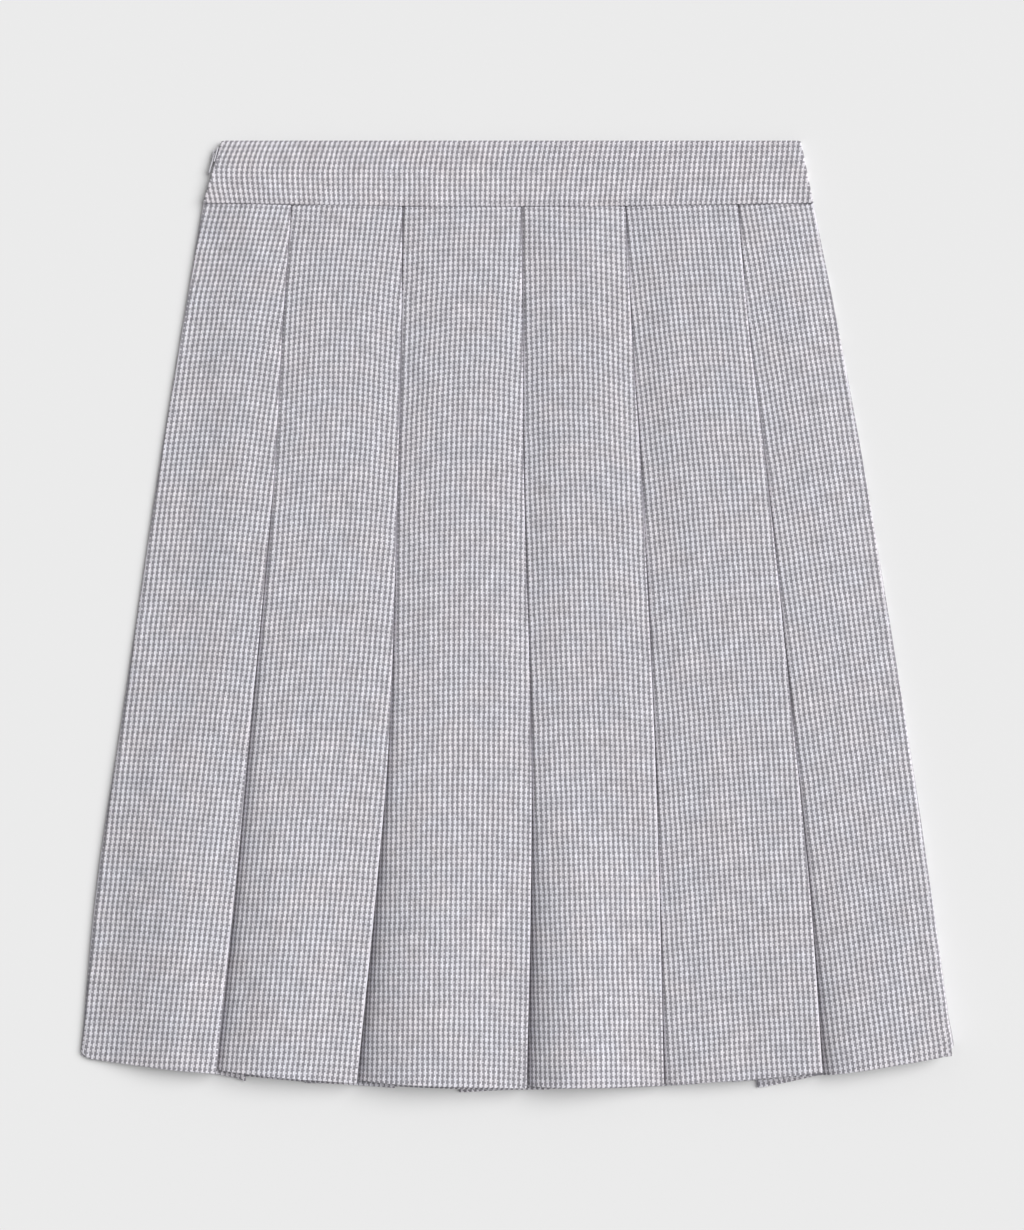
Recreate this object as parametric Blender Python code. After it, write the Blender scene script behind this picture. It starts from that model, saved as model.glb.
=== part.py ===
"""Knife-pleated skirt, laid flat, built from the pieces that a maker cuts and sews.

The skirt lies on its back. Seen from above, +X is to the right, +Y runs from the hem to the
waist, +Z points up, and the surface that it lies on is z = 0. The front and the back are one
folded wall of cloth each: a path across the skirt is worked out from the fold lines, and it is
carried from the waist seam down to the hem.
"""
import math

import bmesh
import bpy
from mathutils import Matrix, Vector

MM = 0.001

# ---- driving dimensions, in millimetres ----------------------------------------------------
CLOTH = 1.1                 # thickness of the wool cloth
PLY_GAP_WAIST = 0.3         # air between the layers of a pleat, pressed flat at the waist
PLY_GAP_HEM = 0.6           # and looser at the hem
SEAM_GAP = 0.3              # between pieces that are sewn together
WAIST_SEAM_GAP = 0.45       # the same at the waist, where the edges lean towards each other
SIDE_HOLLOW = 2.2           # space inside the side seams, where the zip's tape lies

SKIRT_DROP = 527.5          # waist seam to hem, along the middle of the front
BACK_LONGER = 1.2           # the back hangs this much below the front
SEAM_SAG = 2.4              # how far the middle of the waist seam hangs below its ends
HEM_SAG = 20.0              # the same for the hem, which is an arc

# How far each station lies below the waist seam.
STATIONS = {"waist": 0.0, "hip": 80.0, "release": 164.0, "thigh": 320.0, "knee": 422.0, "hem": SKIRT_DROP}
# The rows of the cloth: the stations, with one more where the lines bend most.
ROW_DROPS = (SKIRT_DROP, 475.0, 422.0, 370.0, 320.0, 242.0, 164.0, 120.0, 80.0, 40.0, 0.0)

# Where the side seams and the fold edges cross the stations, measured from the middle.
SIDE_LINES = {
    #          waist    hip     release  thigh   knee    hem
    "left": (-186.5, -200.5, -214.0, -237.0, -252.0, -261.5),
    "right": (179.0, 194.5, 209.5, 235.0, 249.5, 261.5),
}
FRONT_FOLDS = {
    #          waist    hip     release  thigh   knee    hem
    "first": (-134.5, -140.5, -146.5, -158.5, -167.5, -179.0),
    "second": (-67.5, -68.5, -69.5, -75.5, -83.5, -94.5),
    "third": (2.0, 6.5, 6.0, 10.5, 10.0, 7.5),
    "fourth": (66.5, 70.0, 76.5, 85.0, 88.0, 90.5),
    "fifth": (134.0, 144.5, 150.5, 168.5, 178.0, 182.0),
}
FRONT_PLEAT_DEPTHS = (30.0, 54.0, 54.0, 54.0, 54.0)

# The back's fold edges stand at these shares of its width, counted from its own left side.
BACK_FOLD_SHARES = (0.224, 0.395, 0.566, 0.743, 0.914)
BACK_PLEAT_DEPTHS = (54.0, 54.0, 54.0, 54.0, 54.0)

# From a fold edge to the next pleat the cloth climbs over that pleat's layers.
CLIMB = (
    # share of the way, layers climbed
    (0.12, 0.35),
    (0.34, 0.90),
    (0.62, 1.30),
    (0.84, 1.75),
)
# From the last fold edge to the side seam the front swells and sinks again.
LAST_SWELL = (
    # share of the way, layers climbed
    (0.06, 0.35),
    (0.16, 0.80),
    (0.34, 1.00),
    (0.60, 0.75),
    (0.80, 0.30),
)
BACK_SETTLES = 26.0         # past its last fold edge the back reaches the surface in this width
SIDE_FALL_WAIST = 18.0      # width over which the front sinks to a side seam, at the waist
SIDE_FALL_HEM = 40.0        # and at the hem
FOLD_FACETS = 3             # facets round a fold edge
CURL_FACETS = 3             # facets round a side seam
CURL_UPRIGHT = 0.3          # the cloth stands upright for this height at the seam

# Waistband: doubled cloth, thicker at the seam, where it holds the tops of the pleats.
BAND_HEIGHT = 39.6
BAND_CLOTH = 1.6
BAND_TOP_LEFT = -175.5
BAND_TOP_RIGHT = 171.5
BAND_PROUD = 0.2            # how far its lower edge stands above the pleats
BAND_EDGE_FLAT = 8.6        # its ends stay thin for this width, and then it thickens
BAND_COLUMNS = 12           # facets across, between its curled ends
BAND_ROWS = (
    # share of the height, share of the thickening at the seam
    (0.0, 1.0),
    (0.14, 0.8),
    (0.34, 0.3),
    (0.55, 0.0),
    (1.0, 0.0),
)

# Concealed zip in the side seam, closed.
ZIP_LENGTH = 190.0          # from the waistband's upper edge
TAPE_CLOTH = 1.0
TAPE_WIDTH = 6.0
TAPE_INSET = 1.4            # from the inner face of the cloth's edge to the tape
TAPE_ROWS_BELOW = (1.0, 0.75, 0.5, 0.25, 0.1)   # shares of its length below the waist seam
TAPE_ROWS_ABOVE = (0.02, 0.5, 0.98)             # shares of the waistband's height
SLIDER_FROM_TOP = 9.0       # middle of the slider, below the waistband's upper edge
SLIDER_LENGTH = 9.0
SLIDER_WIDTH = 4.4
SLIDER_PLATE = 0.9
SLIDER_ROUNDING = 0.4
BAIL_LENGTH = 5.0
BAIL_WIDTH = 1.2
BAIL_EYE_LENGTH = 2.9
BAIL_EYE_HEIGHT = 1.2
BAIL_CROWN = 0.5
BAIL_SUNK = 0.5             # how deep its feet are sunk into the plate
PULL_LENGTH = 12.5
PULL_WIDTH = 3.6
PULL_TOP_WIDTH = 3.0
PULL_THICKNESS = 0.7
PULL_BAR = 0.7              # bar of the pull that turns in the slider's bail
PULL_EYE_LENGTH = 2.8
PULL_EYE_WIDTH = 1.7
PULL_END_FACETS = 8

# ---- finishes: colour, roughness, metallic --------------------------------------------------
FINISHES = {
    "wool check": ((0.47, 0.46, 0.50), 0.90, 0.0),
    "zip tape": ((0.42, 0.41, 0.44), 0.85, 0.0),
    "zip metal": ((0.16, 0.16, 0.17), 0.40, 0.0),
}

HALF_LENGTH = (BAND_HEIGHT + SKIRT_DROP + BACK_LONGER) / 2
SEAM_Y = HALF_LENGTH - BAND_HEIGHT
TURN = CLOTH / 2            # from the middle of the cloth to its face


def clear_scene():
    for thing in list(bpy.data.objects):
        bpy.data.objects.remove(thing, do_unlink=True)


def finish(name):
    if name in bpy.data.materials:
        return bpy.data.materials[name]
    colour, roughness, metallic = FINISHES[name]
    material = bpy.data.materials.new(name)
    material.use_nodes = True
    shader = material.node_tree.nodes["Principled BSDF"]
    shader.inputs["Base Color"].default_value = (*colour, 1.0)
    shader.inputs["Roughness"].default_value = roughness
    shader.inputs["Metallic"].default_value = metallic
    return material


def between(start, end, share):
    return start + (end - start) * share


def ease(share):
    share = min(max(share, 0.0), 1.0)
    return share * share * (3 - 2 * share)


# ---- the lines of the skirt -----------------------------------------------------------------
def along(values, drop):
    """A smooth curve through one value for each station, read at a drop below the seam."""
    drops = list(STATIONS.values())
    last = len(drops) - 1
    cell = max(index for index in range(last) if drops[index] <= drop)

    def slope(index):
        low = max(index - 1, 0)
        high = min(index + 1, last)
        return (values[high] - values[low]) / (drops[high] - drops[low])

    span = drops[cell + 1] - drops[cell]
    share = (drop - drops[cell]) / span
    leaving = span * slope(cell) * share * (1 - share) ** 2
    arriving = span * slope(cell + 1) * share * share * (share - 1)
    return between(values[cell], values[cell + 1], ease(share)) + leaving + arriving


def side_x(side, drop):
    return along(SIDE_LINES[side], drop)


def level_y(x, drop):
    """Where the curve that lies one drop below the waist seam stands at x."""
    left = side_x("left", drop)
    right = side_x("right", drop)
    sag = between(SEAM_SAG, HEM_SAG, drop / SKIRT_DROP)
    return SEAM_Y - drop + sag * ((2 * x - left - right) / (right - left)) ** 2


def ply_pitch(drop):
    """Height from one layer of a pleat to the next."""
    return CLOTH + between(PLY_GAP_WAIST, PLY_GAP_HEM, drop / SKIRT_DROP)


def stack_height(drop):
    """The three layers of a pleat."""
    return CLOTH + 2 * ply_pitch(drop)


def from_side(x, drop):
    return min(x - side_x("left", drop), side_x("right", drop) - x)


def front_floor(x, drop):
    """Underside of the front: on top of the back's pleats, and lower near the side seams."""
    at_seam = CLOTH + SIDE_HOLLOW
    on_pleats = stack_height(drop) + SEAM_GAP
    fall = between(SIDE_FALL_WAIST, SIDE_FALL_HEM, drop / SKIRT_DROP)
    return between(at_seam, on_pleats, ease(from_side(x, drop) / fall))


# ---- cloth ----------------------------------------------------------------------------------
def fold_round(edge, side, low_layer):
    """Points round a fold: side 1 turns at the right and downwards, -1 at the left."""
    points = []
    for step in range(FOLD_FACETS + 1):
        angle = math.pi * step / FOLD_FACETS
        x = edge - side * 2 * TURN + side * TURN * math.sin(angle)
        points.append((x, low_layer + 0.5 + 0.5 * math.cos(angle)))
    return points


def pleated_path(left, right, folds, depths, side_layer):
    """Path across one side of the skirt, as (x, layer), with its fold edges to the right.

    Layer 0 is the inmost cloth of a pleat, 1 the part that is folded back and 2 the outmost.
    side_layer is the layer in which the cloth meets the side seams.
    """
    path = []
    start = left
    first_layer = side_layer
    for edge, depth in zip(folds, depths):
        inner = edge - depth
        half_way = edge - depth / 2
        stretch = inner - 2 * TURN - start
        for share, layers in CLIMB:
            path.append((start + stretch * share, max(layers, first_layer)))
        path += [(inner - 2 * TURN, 2.0), (half_way, 2.0)]
        path += fold_round(edge, 1, 1)
        path.append((half_way, 1.0))
        path += fold_round(inner, -1, 0)
        path += [(half_way, 0.0), (edge - 2 * TURN, 0.0), (edge, 0.0)]
        start = edge
        first_layer = 0
    if side_layer == 0:
        path += [(between(start, right, share), layers) for share, layers in LAST_SWELL]
    else:
        path += [(start + BACK_SETTLES * share, layers) for share, layers in CLIMB]
        path.append((start + BACK_SETTLES, 2.0))
    return path


def side_curl(side_edge, inward, seam_z, flat_z, thickness):
    """Points from a side seam, where the cloth stands up, to where it lies flat."""
    upward = 1 if flat_z > seam_z else -1
    turn_z = seam_z + upward * CURL_UPRIGHT
    radius = abs(flat_z - turn_z)
    points = [(side_edge + inward * thickness / 2, seam_z)]
    for step in range(CURL_FACETS + 1):
        angle = math.pi / 2 * step / CURL_FACETS
        x = side_edge + inward * (thickness / 2 + radius * (1 - math.cos(angle)))
        points.append((x, between(turn_z, flat_z, math.sin(angle))))
    return points


def cloth_wall(name, columns, finish_name):
    """A wall on a grid of points in its middle, each with the thickness there."""
    rows = len(columns[0])
    thickest = max(point[3] for column in columns for point in column)
    grid = bmesh.new()
    bmesh.ops.create_grid(grid, x_segments=len(columns) - 1, y_segments=rows - 1, size=0.5)
    shares = []
    for vertex in grid.verts:
        column = round((vertex.co.x + 0.5) * (len(columns) - 1))
        row = round((vertex.co.y + 0.5) * (rows - 1))
        x, y, z, thickness = columns[column][row]
        vertex.co = Vector((x, y, z)) * MM
        shares.append(thickness / thickest)
    mesh = bpy.data.meshes.new(name)
    grid.to_mesh(mesh)
    grid.free()
    piece = bpy.data.objects.new(name, mesh)
    bpy.context.collection.objects.link(piece)
    group = piece.vertex_groups.new(name="thickness")
    for index, share in enumerate(shares):
        group.add([index], share, "REPLACE")
    wall = piece.modifiers.new("wall", "SOLIDIFY")
    wall.thickness = thickest * MM
    wall.offset = 0.0
    wall.use_even_offset = True
    wall.use_quality_normals = True
    wall.vertex_group = group.name
    piece.data.materials.append(finish(finish_name))
    return piece


def turn_rows(rows):
    """Rows of points across the skirt, as columns of points up the skirt."""
    return [[row[index] for row in rows] for index in range(len(rows[0]))]


def skirt_front():
    rows = []
    seam_z = CLOTH + SIDE_HOLLOW / 2 + SEAM_GAP / 2
    flat_z = CLOTH + SIDE_HOLLOW + TURN
    for drop in ROW_DROPS:
        left = side_x("left", drop)
        right = side_x("right", drop)
        folds = [along(values, drop) for values in FRONT_FOLDS.values()]
        row = side_curl(left, 1, seam_z, flat_z, CLOTH)
        for x, layer in pleated_path(row[-1][0], right, folds, FRONT_PLEAT_DEPTHS, 0):
            row.append((x, front_floor(x, drop) + TURN + layer * ply_pitch(drop)))
        row += reversed(side_curl(right, -1, seam_z, flat_z, CLOTH))
        rows.append([(x, level_y(x, drop), z, CLOTH) for x, z in row])
    return cloth_wall("skirt_front", turn_rows(rows), "wool check")


def skirt_back():
    """The back is worked out as seen from behind, and then turned over."""
    rows = []
    seam_z = CLOTH + SIDE_HOLLOW / 2 - SEAM_GAP / 2
    for drop in ROW_DROPS:
        left = -side_x("right", drop)
        right = -side_x("left", drop)
        folds = [between(left, right, share) for share in BACK_FOLD_SHARES]
        row = side_curl(left, 1, seam_z, TURN, CLOTH)
        for x, layer in pleated_path(row[-1][0], right, folds, BACK_PLEAT_DEPTHS, 2):
            row.append((x, TURN + (2 - layer) * ply_pitch(drop)))
        row += reversed(side_curl(right, -1, seam_z, TURN, CLOTH))
        longer = BACK_LONGER * drop / SKIRT_DROP
        rows.append([(-x, level_y(-x, drop) - longer, z, CLOTH) for x, z in row])
    return cloth_wall("skirt_back", turn_rows(rows), "wool check")


def band_end_x(side, share):
    """End of the waistband, from the waist seam (share 0) to its upper edge (share 1)."""
    upper = BAND_TOP_LEFT if side == "left" else BAND_TOP_RIGHT
    return between(side_x(side, 0.0), upper, share)


def waistband(name, is_front):
    seam_z = BAND_CLOTH + SIDE_HOLLOW / 2 + (SEAM_GAP / 2 if is_front else -SEAM_GAP / 2)
    flat_z = BAND_CLOTH * 1.5 + SIDE_HOLLOW if is_front else BAND_CLOTH / 2
    full = stack_height(0.0)
    rows = []
    for share, thickening in BAND_ROWS:
        left = band_end_x("left", share)
        right = band_end_x("right", share)
        row = [(x, z, BAND_CLOTH) for x, z in side_curl(left, 1, seam_z, flat_z, BAND_CLOTH)]
        ends = (row[-1][0], left + right - row[-1][0])
        for step in range(1, BAND_COLUMNS):
            x = between(*ends, 0.5 - 0.5 * math.cos(math.pi * step / BAND_COLUMNS))
            inward = min(x - left, right - x)
            swell = thickening * ease((inward - BAND_EDGE_FLAT) / (SIDE_FALL_WAIST - BAND_EDGE_FLAT))
            thickness = between(BAND_CLOTH, full, swell)
            floor = between(BAND_CLOTH + SIDE_HOLLOW, full + SEAM_GAP + BAND_PROUD, swell) if is_front else 0.0
            row.append((x, floor + thickness / 2, thickness))
        curl = side_curl(right, -1, seam_z, flat_z, BAND_CLOTH)
        row += [(x, z, BAND_CLOTH) for x, z in reversed(curl)]
        rows.append([(x, between(level_y(x, 0.0) + WAIST_SEAM_GAP, HALF_LENGTH, share), z, t) for x, z, t in row])
    return cloth_wall(name, turn_rows(rows), "wool check")


# ---- zip ------------------------------------------------------------------------------------
def zip_tape():
    rows = []
    tape_z = (BAND_CLOTH + CLOTH + SIDE_HOLLOW) / 2
    end = ZIP_LENGTH - BAND_HEIGHT
    for share in TAPE_ROWS_BELOW:
        drop = end * share
        edge = side_x("left", drop) + CLOTH + TAPE_INSET
        rows.append([(x, level_y(x, drop), tape_z, TAPE_CLOTH) for x in (edge, edge + TAPE_WIDTH)])
    for share in TAPE_ROWS_ABOVE:
        edge = band_end_x("left", share) + BAND_CLOTH + TAPE_INSET
        y = between(level_y(edge, 0.0), HALF_LENGTH, share)
        rows.append([(x, y, tape_z, TAPE_CLOTH) for x in (edge, edge + TAPE_WIDTH)])
    return cloth_wall("zip_tape", turn_rows(rows), "zip tape")


def block(name, low, high):
    """A box between two corners, each given in millimetres."""
    shape = bmesh.new()
    bmesh.ops.create_cube(shape, size=1.0)
    size = [b - a for a, b in zip(low, high)]
    middle = [(a + b) / 2 for a, b in zip(low, high)]
    bmesh.ops.scale(shape, vec=Vector(size) * MM, verts=shape.verts)
    bmesh.ops.translate(shape, vec=Vector(middle) * MM, verts=shape.verts)
    mesh = bpy.data.meshes.new(name)
    shape.to_mesh(mesh)
    shape.free()
    piece = bpy.data.objects.new(name, mesh)
    bpy.context.collection.objects.link(piece)
    return piece


def combine(piece, other, operation):
    other.hide_render = True
    other.display_type = "WIRE"
    change = piece.modifiers.new(other.name, "BOOLEAN")
    change.operation = operation
    change.object = other
    change.solver = "EXACT"


def zip_slider():
    """Plate on the seam, with a bail over it. Across, along and out from the cloth are x, y, z."""
    half_length = SLIDER_LENGTH / 2
    half_width = SLIDER_WIDTH / 2
    top = SEAM_GAP + SLIDER_PLATE
    slider = block("zip_slider", (-half_width, -half_length, SEAM_GAP), (half_width, half_length, top))
    rounded = slider.modifiers.new("rounded", "BEVEL")
    rounded.width = SLIDER_ROUNDING * MM
    rounded.segments = 2
    half_bail = BAIL_LENGTH / 2
    half_eye = BAIL_EYE_LENGTH / 2
    crown = top + BAIL_EYE_HEIGHT + BAIL_CROWN
    bail = block("bail", (-BAIL_WIDTH / 2, -half_bail, top - BAIL_SUNK), (BAIL_WIDTH / 2, half_bail, crown))
    eye = block("bail_eye", (-BAIL_WIDTH, -half_eye, top), (BAIL_WIDTH, half_eye, top + BAIL_EYE_HEIGHT))
    combine(bail, eye, "DIFFERENCE")
    combine(slider, bail, "UNION")
    slider.data.materials.append(finish("zip metal"))
    return slider, (bail, eye)


def zip_pull():
    """Tab that hangs from its bar: the bar's middle is the piece's origin."""
    shape = bmesh.new()
    low = -PULL_LENGTH + PULL_BAR / 2 + PULL_WIDTH / 2
    outline = [(-PULL_TOP_WIDTH / 2, PULL_BAR / 2), (-PULL_TOP_WIDTH / 2, -PULL_EYE_LENGTH - PULL_BAR)]
    for step in range(PULL_END_FACETS + 1):
        angle = math.pi * (1 + step / PULL_END_FACETS)
        outline.append((PULL_WIDTH / 2 * math.cos(angle), low + PULL_WIDTH / 2 * math.sin(angle)))
    outline += [(PULL_TOP_WIDTH / 2, -PULL_EYE_LENGTH - PULL_BAR), (PULL_TOP_WIDTH / 2, PULL_BAR / 2)]
    corners = [shape.verts.new(Vector((x, y, -PULL_THICKNESS / 2)) * MM) for x, y in outline]
    face = shape.faces.new(corners)
    raised = bmesh.ops.extrude_face_region(shape, geom=[face])
    lifted = [part for part in raised["geom"] if isinstance(part, bmesh.types.BMVert)]
    bmesh.ops.translate(shape, vec=Vector((0.0, 0.0, PULL_THICKNESS)) * MM, verts=lifted)
    bmesh.ops.recalc_face_normals(shape, faces=shape.faces)
    mesh = bpy.data.meshes.new("zip_pull")
    shape.to_mesh(mesh)
    shape.free()
    pull = bpy.data.objects.new("zip_pull", mesh)
    bpy.context.collection.objects.link(pull)
    half_eye = PULL_EYE_WIDTH / 2
    upper = -PULL_BAR / 2
    low_corner = (-half_eye, upper - PULL_EYE_LENGTH, -PULL_THICKNESS)
    eye = block("pull_eye", low_corner, (half_eye, upper, PULL_THICKNESS))
    combine(pull, eye, "DIFFERENCE")
    pull.data.materials.append(finish("zip metal"))
    return pull, eye


def place_zip():
    """The zip's frame stands on the waistband's left end, half way up its thickness."""
    share = 1 - SLIDER_FROM_TOP / BAND_HEIGHT
    end_x = band_end_x("left", share)
    end_y = between(SEAM_Y + SEAM_SAG, HALF_LENGTH, share)
    lean = math.atan2(band_end_x("left", 1) - band_end_x("left", 0), BAND_HEIGHT)
    frame = bpy.data.objects.new("zip_frame", None)
    bpy.context.collection.objects.link(frame)
    up = Vector((math.sin(lean), math.cos(lean), 0.0))
    out = Vector((-math.cos(lean), math.sin(lean), 0.0))
    across = up.cross(out)
    turn = Matrix((across, up, out)).transposed().to_4x4()
    seam_z = BAND_CLOTH + SIDE_HOLLOW / 2
    frame.matrix_world = Matrix.Translation(Vector((end_x, end_y, seam_z)) * MM) @ turn
    slider, slider_cutters = zip_slider()
    pull, pull_eye = zip_pull()
    for piece in (slider, *slider_cutters, pull, pull_eye):
        piece.parent = frame
    hinge = Vector((0.0, 0.0, SEAM_GAP + SLIDER_PLATE + BAIL_EYE_HEIGHT / 2)) * MM
    pull.location = hinge
    pull_eye.location = hinge


clear_scene()
skirt_front()
skirt_back()
waistband("waistband_front", True)
waistband("waistband_back", False)
zip_tape()
place_zip()
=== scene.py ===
"""Looks of the pleated skirt: its cloth, its zip and the stage, made round the fixed frame.

Lengths in the tables are millimetres, and the sizes that a user may change are in metres. Seen
from above, +X is to the right, +Y runs from the hem to the waist and +Z points up. A drop is the
distance below the waist seam. The front and the back are one length of cloth each, folded into
knife pleats: a path across the cloth is worked out at each drop, and a grid is laid along it.
"""

import math
from itertools import accumulate, pairwise

import bmesh
import bpy
from bpy.props import FloatProperty, FloatVectorProperty, PointerProperty
from bpy.types import Operator, Panel, PropertyGroup
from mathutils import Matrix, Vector


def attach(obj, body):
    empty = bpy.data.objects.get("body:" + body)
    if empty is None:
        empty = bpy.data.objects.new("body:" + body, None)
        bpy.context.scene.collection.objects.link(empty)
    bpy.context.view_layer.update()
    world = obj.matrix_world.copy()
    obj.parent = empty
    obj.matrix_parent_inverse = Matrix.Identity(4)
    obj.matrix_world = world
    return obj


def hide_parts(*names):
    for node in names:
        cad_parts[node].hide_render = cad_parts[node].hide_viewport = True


bl_info = {
    "name": "Pleated skirt",
    "version": (1, 0, 0),
    "blender": (4, 5, 0),
    "location": "3D View > Sidebar > Skirt",
    "description": "Knife-pleated wool skirt, laid flat",
    "category": "Mesh",
}

MM = 0.001
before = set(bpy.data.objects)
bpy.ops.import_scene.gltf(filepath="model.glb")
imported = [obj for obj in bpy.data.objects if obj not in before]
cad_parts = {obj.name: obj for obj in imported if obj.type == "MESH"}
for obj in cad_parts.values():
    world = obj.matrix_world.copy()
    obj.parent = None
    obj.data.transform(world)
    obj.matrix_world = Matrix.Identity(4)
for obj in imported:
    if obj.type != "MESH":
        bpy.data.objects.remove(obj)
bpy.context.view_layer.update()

# ---- the cut, in millimetres ----
CLOTH = 0.8  # thickness of the wool
PLY_GAP_WAIST = 0.4  # air between the layers of a pleat at the waist
PLY_GAP_HEM = 0.7  # and at the hem
SEAM_GAP = 0.3
SIDE_HOLLOW = 0.5  # space inside the side seams
BAND_HOLLOW = 2.2  # and inside the ends of the waistband
SKIRT_DROP = 527.5
BACK_LONGER = 1.2
SEAM_SAG = 2.4
HEM_SAG = 20.0
SIDE_FALLS = {  # width over which the front sinks to a side seam, at waist and hem
    "left": (24.0, 50.0),
    "right": (18.0, 26.0),
}
SIDE_PROUD = {"left": (1.4, 0.0), "right": (1.2, 2.6)}  # a side seam stands this much higher
SIDE_ROUND = 0.3  # the side seams turn as tightly as this
SIDE_ROLLS = {"left": 0.5, "right": 0.3}  # or the front rolls over this share of its height
ROLL_TALL = 1.4  # such a roll is taller than wide

# A row of six numbers gives a value at each of these drops: waist, hip, release, thigh, knee, hem.
STATIONS = (0.0, 80.0, 164.0, 320.0, 422.0, SKIRT_DROP)
SIDE_LINES = {
    "left": (-186.5, -199.4, -212.8, -235.3, -250.3, -260.0),
    "right": (179.0, 194.5, 209.4, 234.2, 248.8, 262.6),
}
# Tables of the front's folds have a row for each fold edge, from the left.
FRONT_FOLDS = (
    (-133.5, -139.2, -143.8, -158.2, -167.6, -178.3),
    (-67.2, -67.8, -70.0, -75.2, -83.6, -94.2),
    (4.0, 4.8, 5.6, 10.0, 9.6, 7.2),
    (66.3, 70.5, 76.0, 83.8, 87.0, 89.3),
    (133.5, 140.7, 151.0, 167.0, 177.0, 184.0),
)
FRONT_DEPTHS = (30.0, 54.0, 54.0, 54.0, 54.0)  # width hidden in each pleat
BACK_FOLD_SHARES = (0.224, 0.395, 0.566, 0.743, 0.914)
BACK_DEPTH = 54.0

# ---- how the front lies ----
# Beside a fold edge the next panel rises steeply out of the pleat, by this height within about
# this run, and then gently by a further height.
STEEP_RISE = (
    (1.9, 2.2, 2.2, 2.9, 2.6, 2.2),
    (2.2, 2.0, 1.9, 2.8, 2.6, 2.8),
    (2.0, 1.7, 1.5, 2.5, 2.8, 3.2),
    (2.2, 1.6, 1.7, 2.2, 1.8, 3.8),
    (2.0, 1.7, 1.7, 2.4, 2.5, 2.8),
)
STEEP_RUN = (
    (0.6, 0.45, 0.5, 2.5, 2.8, 2.4),
    (0.8, 0.5, 0.9, 2.3, 2.9, 2.9),
    (0.8, 1.3, 0.6, 0.9, 2.6, 3.2),
    (0.6, 0.5, 1.0, 1.0, 0.6, 1.4),
    (0.7, 0.4, 0.8, 0.8, 1.2, 2.8),
)
GENTLE_RISE = (
    (0.2, 0.2, 0.2, 1.6, 6.2, 6.2),
    (0.2, 0.2, 0.2, 1.6, 7.2, 8.6),
    (0.2, 0.2, 0.2, 0.6, 6.2, 9.6),
    (0.2, 0.2, 0.2, 0.4, 0.4, 1.2),
    (0.2, 0.2, 0.2, 0.4, 2.0, 6.6),
)
GENTLE_RUN = 12.0
STEEP_POWER = 1.4  # how square the shoulder of a steep rise is
RIGHT_EDGE_RISE = (0.0, 0.2, 0.6, 1.6, 4.2, 7.0)  # of the last panel, at the side seam
# A fold edge stands off the next panel by this much more than its layers.
EDGE_LIFT = (
    (0.0, 0.0, 0.0, 1.3, 2.6, 2.6),
    (0.0, 0.0, 0.0, 1.3, 3.2, 4.6),
    (0.0, 0.3, 0.0, 0.1, 2.4, 5.2),
    (0.0, 0.0, 0.0, 0.0, 0.1, 1.4),
    (0.0, 0.0, 0.0, 0.0, 0.5, 3.8),
)
RUN_STITCHED = 0.5  # the run of a rise that is stitched down, and of a loose one
RUN_LOOSE = 2.4
IMPRINT_WIDTH = 22.0  # width of the step over the next pleat's inner fold, where stitched
IMPRINT_LEAD = 6.0  # the step's middle is this far before the inner fold
SETTLING_MIDDLE = 0.62  # a loose panel settles to its fold edge about this share of its width
SETTLING_WIDTH = 0.74  # and over this share
FIRST_STEP_WIDTH = 34.0  # the first panel steps up over its pleat, in this width
FIRST_STEP_SHIFT = 0.6  # of which this share lies before the pleat's inner fold
EDGE_PULL = 0.30  # layers by which stitching pulls a fold edge down
EDGE_PULL_WIDTH = 3.0
LIFT_WIDTH = 60.0  # a lifted fold edge slopes back over this width
EDGE_ROLL = 0.16  # share of the lift by which its edge rolls down again
EDGE_ROLL_WIDTH = 4.5

# Soft troughs (negative) and ridges (positive) in the front.
CREASES = (
    # from x, drop     to x, drop      height  half width
    (-139.0, 5.0, -148.0, 190.0, -0.8, 14.0),
    (-68.0, 20.0, -68.0, 330.0, -1.5, 13.0),
    (4.0, 30.0, 9.0, 330.0, -1.4, 11.0),
    (69.0, 10.0, 84.0, 290.0, -1.6, 14.0),
    (140.0, 10.0, 160.0, 220.0, -0.8, 15.0),
    (-206.0, 330.0, -216.0, 545.0, 3.6, 27.0),
)
CREASE_FADE = 1.5  # how soon a crease fades towards its ends
# How much lower than the level curve the hem of each panel hangs, at its two edges.
HEM_HANG = ((2.2, 0.2), (-2.0, -1.0), (-2.6, -0.8), (-1.8, 0.3), (-0.2, -0.2), (2.0, -0.4))
HEM_HANG_FROM = 440.0
CORNERS = {"left": 6.0, "right": 9.0}  # radius of the hem's corners
CORNER_REACH = 3.0  # radii over which a corner's rounding spreads upwards
# Each back pleat, from the right: how far its fold edge and its inner fold hang below the hem,
# and over what width.
BACK_TAILS = (
    (5.0, 30.0, 0.0, 5.0), (0.3, 15.0, 0.0, 5.0), (2.0, 20.0, 0.0, 5.0), (1.0, 8.0, 0.6, 6.0),
    (0.0, 8.0, 2.6, 6.0),
)
BACK_TAILS_FROM = 470.0

# The waist seam bites deeply between these places, and hardly at all elsewhere.
SEAM_DEEP = ((-167.0, -117.0), (-69.0, -54.0), (-30.0, -9.0), (0.0, 39.0), (63.0, 117.0))
SEAM_SHALLOW = 0.25
SEAM_FADE = 9.0
SEAM_DIP = 0.9  # the front turns down into the waist seam by this much
SEAM_DIP_REACH = 1.6
# Layers sunk to the floor, at shares of the way from a fold edge of the back to the next pleat.
SETTLING = ((0.0, 0.0), (0.12, 0.35), (0.34, 0.90), (0.62, 1.30), (0.84, 1.75), (1.0, 2.0))

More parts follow.
